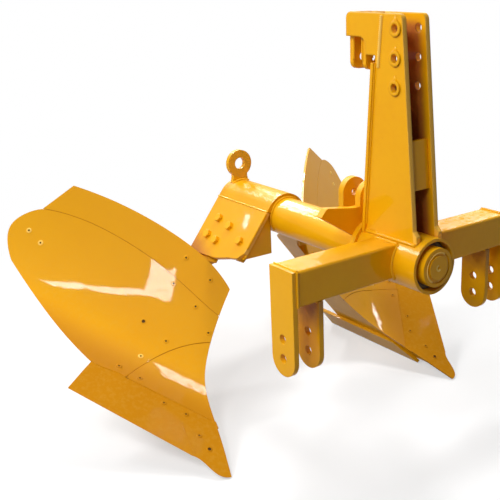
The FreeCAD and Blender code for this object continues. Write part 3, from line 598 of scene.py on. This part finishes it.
# a bead of pale paint stands in part of the nut's groove; its pale colour is a painted highlight,
# the glint along the groove
nutGlintBead = {
    "place": 0.1672,
    "ring": 0.0475,
    "angles": (52, 242),
    "steps": 30,
    "thick": 0.0034,
    "ripple": 0.05,
}
bm = bmesh.new()
nutPath = arcPath(nutGlintBead["place"], nutGlintBead["ring"], *nutGlintBead["angles"], nutGlintBead["steps"])
layBead(bm, nutPath, nutGlintBead["thick"], nutGlintBead["ripple"])
meshPiece("nutFaceGlint", bm, glintPaint, "rotor")

# the paint has gathered in a small peak over each top link boss
peaks = {
    "x": 0.026,
    "out": 0.0548,
    "levels": (0.533, 0.6175, 0.702),
    "rise": 0.0265,
    "height": 0.020,
    "radius": 0.0125,
    "tip": 0.0012,
    "flat": 0.34,
    "sides": 14,
}
for side, word in sideWords.items():
    bm = bmesh.new()
    for level in peaks["levels"]:
        spot = Matrix.Translation((peaks["x"], side * peaks["out"], level + peaks["rise"]))
        bmesh.ops.create_cone(bm, cap_ends=True, segments=peaks["sides"], radius1=peaks["radius"],
                              radius2=peaks["tip"], depth=peaks["height"],
                              matrix=spot @ Matrix.Diagonal((1, peaks["flat"], 1, 1)))
    meshPiece(f"bossPeaks_{word}", bm, weldPaint, "headstock")
print("welds laid")


# Plough bolts and seams: places are metres along the chord plane and over the furrow floor

boardNodes = ("mouldboard", "share", "shin", "trash_board")
boardPlane = {"chord": 43.0, "point": (-0.228, 0.010, -0.877), "standOff": 0.6}
chord = math.radians(boardPlane["chord"])
run = Vector((-math.cos(chord), -math.sin(chord), 0))
through = Vector((-math.sin(chord), math.cos(chord), 0))
boardTrees = {name: BVHTree.FromPolygons([vert.co for vert in node.data.vertices],
                                         [face.vertices for face in node.data.polygons])
              for name, node in nodes.items() if name.startswith(boardNodes)}


def boardSpot(board, side, along, height):
    # where a level line square to the chord plane meets a board, and the way out of it
    origin = Vector(boardPlane["point"]) + run * along + Vector((0, 0, height))
    start = tilt @ (origin - through * boardPlane["standOff"])
    aim = tilt @ through
    if side > 0:
        start.y, aim.y = -start.y, -aim.y
    spot, normal = boardTrees[f"{board}_{sideWords[side]}"].ray_cast(start, aim)[:2]
    if spot is None:
        return None
    return spot, (-normal if normal.dot(aim) > 0 else normal)


# rings are (radius, height over the board) of a bolt's head from its rim in
ploughBolts = {
    "rings": ((0.0102, -0.0004), (0.0094, 0.0012), (0.0078, 0.0019)),
    "facets": 18,
    "socket": 0.0038,
    "openSocket": 0.0066,
    "taper": 0.92,
    "floor": 0.00015,
    "reach": 0.012,
    "places": {
        "mouldboard": ((1.116, 0.395), (1.055, 0.374), (0.550, 0.466), (0.436, 0.428),
                       (0.345, 0.364), (0.507, 0.184), (0.543, 0.126), (0.463, 0.269),
                       (0.573, 0.294)),
        "trash_board": ((0.557, 0.573), (0.438, 0.540)),
        "shin": ((0.456, 0.123),),
        "share": ((0.333, 0.092), (0.247, 0.093), (0.167, 0.058), (0.112, 0.038)),
    },
    "open": ((0.573, 0.294), (0.112, 0.038)),
    # painted highlight: these bolts get pale heads
    "pale": ((1.116, 0.395), (1.055, 0.374), (0.507, 0.184)),
}
boltSlots = {"socket": 1, "pale": 2}


def layBolt(bm, spot, normal, place):
    socket = ploughBolts["openSocket" if place in ploughBolts["open"] else "socket"]
    rings = ploughBolts["rings"] + ((socket, ploughBolts["rings"][-1][1]),
                                    (socket * ploughBolts["taper"], ploughBolts["floor"]))
    turn = normal.to_track_quat("Z", "Y").to_matrix().to_4x4()
    radius, rise = rings[0]
    disc = bmesh.ops.create_circle(bm, segments=ploughBolts["facets"], radius=radius,
                                   matrix=Matrix.Translation(spot + normal * rise) @ turn)
    edges = list({edge for vert in disc["verts"] for edge in vert.link_edges})
    for (before, low), (after, high) in zip(rings, rings[1:]):
        verts, made = extruded(bm, edges)
        edges = [edge for edge in made if edge.verts[0] in verts and edge.verts[1] in verts]
        bmesh.ops.scale(bm, verts=verts, vec=(after / before,) * 3,
                        space=Matrix.Translation(-spot - normal * low))
        bmesh.ops.translate(bm, verts=verts, vec=normal * (high - low))
    # painted highlight: pale paint on these bolt heads
    if place in ploughBolts["pale"]:
        for face in bm.faces:
            if (face.calc_center_median() - spot).length < ploughBolts["reach"]:
                face.material_index = boltSlots["pale"]
    for face in bmesh.ops.contextual_create(bm, geom=edges)["faces"]:
        face.material_index = boltSlots["socket"]


for board, places in ploughBolts["places"].items():
    for side, word in sideWords.items():
        bm = bmesh.new()
        for place in places:
            found = boardSpot(board, side, *place)
            if found is None:
                print("no surface for a bolt on", board, word, *place)
            else:
                layBolt(bm, *found, place)
        ringPaint = sharePaint if board == "share" else boardPaint
        piece = meshPiece(f"ploughBolts_{board}_{word}", bm, ringPaint, "rotor", False)
        piece.data.materials.append(paintedSocketShade)
        piece.data.materials.append(glintPaint)

# a dark fill in the seam grooves, painted shade for the shade in the gaps, and paint flush over the
# share's joints;
# groove and flush are (radius, depth) of a bead, short and back are how far inside a board's edge
# the two probes for its direction lie
seamFill = {
    "groove": (0.0026, 0.0043),
    "flush": (0.0032, 0.0031),
    "search": 0.014,
    "halvings": 9,
    "short": 0.0004,
    "back": 0.0044,
    "gap": 0.0008,
    "samples": 8,
    "fewest": 4,
    "past": 0.004,
    "paths": {
        "trash": ("mouldboard", "groove", (
            (0.284, 0.420), (0.300, 0.425), (0.320, 0.431), (0.443, 0.459), (0.557, 0.489),
            (0.683, 0.513), (0.802, 0.524), (0.915, 0.525), (1.042, 0.508), (1.112, 0.488))),
        "shinSide": ("mouldboard", "groove", (
            (0.503, 0.112), (0.497, 0.104), (0.470, 0.181), (0.425, 0.250), (0.378, 0.297),
            (0.315, 0.338), (0.284, 0.351), (0.268, 0.356))),
        "wing": ("share", "flush", (
            (0.500, 0.104), (0.536, 0.105), (0.584, 0.099), (0.629, 0.098), (0.640, 0.098))),
        "share": ("share", "flush", (
            (0.045, 0.112), (0.070, 0.112), (0.095, 0.112), (0.237, 0.110), (0.356, 0.1075),
            (0.500, 0.104))),
    },
}


def seamSpot(board, side, place, outward):
    # just past the last surface of a board on the way across a seam
    inside = place - outward * seamFill["search"]
    outside = place + outward * seamFill["search"]
    if boardSpot(board, side, *inside) is None or boardSpot(board, side, *outside):
        return None
    for _ in range(seamFill["halvings"]):
        middle = (inside + outside) / 2
        if boardSpot(board, side, *middle):
            inside = middle
        else:
            outside = middle
    edge = boardSpot(board, side, *(inside - outward * seamFill["short"]))
    over = boardSpot(board, side, *(inside - outward * seamFill["back"]))
    if edge is None or over is None:
        return None
    step = (edge[0] - over[0]).normalized()
    return edge[0] + step * (seamFill["gap"] + seamFill["short"])


def seamPath(board, side, points, sink):
    path = []
    for start, end in zip(points, points[1:]):
        start, end = Vector(start), Vector(end)
        outward = Vector((start.y - end.y, end.x - start.x)).normalized()
        for step in range(seamFill["samples"]):
            place = start.lerp(end, step / seamFill["samples"])
            found = seamSpot(board, side, place, outward)
            if found:
                path.append(found + sink)
    return path


for side, word in sideWords.items():
    fills = {"groove": bmesh.new(), "flush": bmesh.new()}
    slotWay = tilt @ through
    slotWay.y *= -side
    for board, kind, points in seamFill["paths"].values():
        radius, depth = seamFill[kind]
        path = seamPath(board, side, points, slotWay * depth)
        if len(path) > seamFill["fewest"]:
            for end, near in ((0, 1), (-1, -2)):
                onward = (path[end] - path[near]).normalized()
                path[end] = path[end] + onward * seamFill["past"]
            layBead(fills[kind], path, radius, 0.0)
        else:
            print("no seam found for", board, kind, word)
    meshPiece(f"seamShadeFill_{word}", fills["groove"], seamShadePaint, "rotor")
    meshPiece(f"shareJointPaint_{word}", fills["flush"], sharePaint, "rotor")

# a thin run of paint down the near share
paintRun = {
    "thick": 0.0009,
    "places": ((0.235, 0.061), (0.229, 0.057), (0.198, 0.038), (0.168, 0.019), (0.146, 0.0075)),
}
bm = bmesh.new()
runSpots = [boardSpot("share", -1, *place) for place in paintRun["places"]]
layBead(bm, [found[0] for found in runSpots if found], paintRun["thick"], 0.0)
meshPiece("paintRun_right", bm, boardPaint, "rotor")
print("plough bolts set and seams filled")


# Studio: floor, lamps, sky and camera

# a lamp that isn't mirrored shows in no gleam, and one that isn't lit shows in gleams alone
lamps = {
    "key": {"place": (-0.6, -3.7, 2.7), "aim": (-0.5, -0.2, -0.1), "size": (2.2, 1.6),
            "power": 86.0, "mirrored": False},
    "boardStripA": {"place": (0.20, -2.31, 2.6), "size": (0.63, 0.14), "power": 15.0,
                    "along": (0.80, -0.60, 0.0)},
    "boardStripB": {"place": (0.80, -2.52, 2.6), "size": (0.80, 0.17), "power": 23.0,
                    "along": (1.0, 0.0, 0.0)},
    "boardPatch": {"place": (1.53, -2.70, 2.6), "size": (0.85, 0.30), "power": 40.0,
                   "along": (0.66, -0.75, 0.0)},
    "shinPatch": {"place": (-0.75, 0.914, 2.6), "size": (0.80, 0.44), "power": 48.0,
                  "along": (-0.55, 0.83, 0.0)},
    "rearStrip": {"place": (-3.95, 1.0, 2.6), "aim": (-0.4, 0.0, 0.0), "size": (2.2, 0.26),
                  "power": 74.0, "along": (0.57, -0.82, 0.0)},
    "rearGleam": {"place": (-4.0, 0.3, 2.6), "aim": (-0.4, 0.0, 0.0), "size": (3.0, 0.60),
                  "power": 280.0, "along": (-0.12, 1.0, 0.0), "lit": False},
    "hubPatch": {"place": (-2.9, -1.95, 2.6), "aim": (0.0, 0.0, 0.0), "size": (0.9, 0.50),
                 "power": 46.0, "along": (0.42, 0.91, 0.0)},
    "hubGleam": {"place": (-2.9, -1.95, 2.6), "aim": (0.0, 0.0, 0.0), "size": (0.9, 0.60),
                 "power": 110.0, "along": (0.42, 0.91, 0.0), "lit": False},
    "cheekStrip": {"place": (-5.56, -2.53, 2.6), "aim": (-0.8, -0.2, 0.0), "size": (0.16, 0.035),
                   "power": 1.25, "along": (0.65, 0.76, 0.0)},
    "farStrip": {"place": (-0.76, 3.15, 2.6), "aim": (-0.4, 0.4, -0.4), "size": (0.7, 0.10),
                 "power": 12.0, "along": (0.1, -1.0, 0.0)},
    "roofLight": {"place": (-6.0, 5.6, 2.6), "aim": (0.0, 0.0, 0.0), "size": (4.2, 0.5),
                  "power": 22.0, "along": (0.0, 1.0, 0.0)},
    "roofStripA": {"place": (-5.70, 5.6, 2.6), "aim": (0.0, 0.0, 0.0), "size": (4.2, 0.035),
                   "power": 4.5, "along": (0.0, 1.0, 0.0)},
    "roofStripB": {"place": (-6.35, 5.6, 2.6), "aim": (0.0, 0.0, 0.0), "size": (4.2, 0.035),
                   "power": 4.5, "along": (0.0, 1.0, 0.0)},
}


def addLamp(name, values):
    data = bpy.data.lights.new(name + "Lamp", "AREA")
    data.shape = "RECTANGLE"
    data.size, data.size_y = values["size"]
    data.energy = values["power"]
    lamp = bpy.data.objects.new(name + "Lamp", data)
    bpy.context.scene.collection.objects.link(lamp)
    lamp.location = values["place"]
    lamp.visible_glossy = values.get("mirrored", True)
    lamp.visible_diffuse = values.get("lit", True)
    aim = Vector((0, 0, -1))
    if "aim" in values:
        aim = (Vector(values["aim"]) - Vector(values["place"])).normalized()
    if "along" in values:
        along = Vector(values["along"])
        along = (along - aim * along.dot(aim)).normalized()
        lamp.rotation_euler = Matrix((along, -aim.cross(along), -aim)).transposed().to_euler()
    else:
        lamp.rotation_euler = aim.to_track_quat("-Z", "Y").to_euler()


for lampName, lampValues in lamps.items():
    addLamp(lampName, lampValues)


def seenDirectly(tree):
    # 1 for rays from the camera and for those mirrored or let through
    rays = addNode(tree, "ShaderNodeLightPath")
    straight = rays.out("Is Camera Ray").largest(rays.out("Is Glossy Ray"))
    return straight.largest(rays.out("Is Transmission Ray"))


white = (1.0, 1.0, 1.0, 1.0)
floorLook = {
    "under": 0.0005,
    "half": 30.0,
    "grain": (3.0, 3.0, 0.5),
    "colors": ((0.89, 0.89, 0.89), (0.93, 0.93, 0.93)),
    "bounce": (0.28, 0.28, 0.28),
    "glow": 0.5,
    "glowSteps": (1.6, 3.2),
}
floorMaterial, tree = newMaterial("paleFloor")
place = objectPlace(tree)
grain = noise(tree, place, *floorLook["grain"])
glow = addNode(tree, "ShaderNodeEmission", {}, {"Color": white, "Strength": 1.0})
reach = addNode(tree, "ShaderNodeVectorMath", {"operation": "LENGTH"}, {0: place}).out("Value")
direct = seenDirectly(tree)
floorColor = mixColor(tree, direct, floorLook["bounce"], mixColor(tree, grain, *floorLook["colors"]))
diffuse = addNode(tree, "ShaderNodeBsdfDiffuse", {}, {"Color": floorColor})
pale = direct * (floorLook["glow"] + (1.0 - floorLook["glow"]) * reach.step(*floorLook["glowSteps"]))
floorShader = addNode(tree, "ShaderNodeMixShader", {},
                      {0: pale, 1: diffuse.out("BSDF"), 2: glow.out("Emission")})
addNode(tree, "ShaderNodeOutputMaterial", {}, {"Surface": floorShader.out("Shader")})
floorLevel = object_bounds()[0].z - floorLook["under"]
bm = bmesh.new()
bmesh.ops.create_grid(bm, x_segments=1, y_segments=1, size=floorLook["half"],
                      matrix=Matrix.Translation((0, 0, floorLevel)))
floorMesh = bpy.data.meshes.new("floor")
bm.to_mesh(floorMesh)
bm.free()
floorMesh.materials.append(floorMaterial)
floor = bpy.data.objects.new("floor", floorMesh)
bpy.context.scene.collection.objects.link(floor)

skyStrength = 0.12
world = bpy.data.worlds.new("studioSky")
bpy.context.scene.world = world
world.use_nodes = True
tree = world.node_tree
tree.nodes.clear()
seen = seenDirectly(tree)
strength = seen + (1.0 - seen) * skyStrength
background = addNode(tree, "ShaderNodeBackground", {}, {"Color": white, "Strength": strength})
addNode(tree, "ShaderNodeOutputWorld", {}, {"Surface": background.out("Background")})

view = {
    "place": (1.8092, -1.7429, 0.8342),
    "yaw": 48.43,
    "pitch": 18.04,
    "focalPixels": 828.6,
    "centrePixels": 367.6,
    "framePixels": 500.0,
    "sensor": 36.0,
    "farthest": 100.0,
}
cameraData = bpy.data.cameras.new("camera")
cameraData.sensor_width = view["sensor"]
cameraData.lens = view["focalPixels"] / view["framePixels"] * cameraData.sensor_width
cameraData.shift_x = 0.5 - view["centrePixels"] / view["framePixels"]
cameraData.clip_end = view["farthest"]
camera = bpy.data.objects.new("camera", cameraData)
bpy.context.scene.collection.objects.link(camera)
camera.location = view["place"]
yaw, pitch = math.radians(view["yaw"]), math.radians(view["pitch"])
level = math.cos(pitch)
forward = Vector((-level * math.sin(yaw), level * math.cos(yaw), -math.sin(pitch)))
camera.rotation_mode = "QUATERNION"
camera.rotation_quaternion = forward.to_track_quat("-Z", "Y")
bpy.context.scene.camera = camera
bpy.context.scene.view_settings.view_transform = "Standard"
print("studio and camera ready")
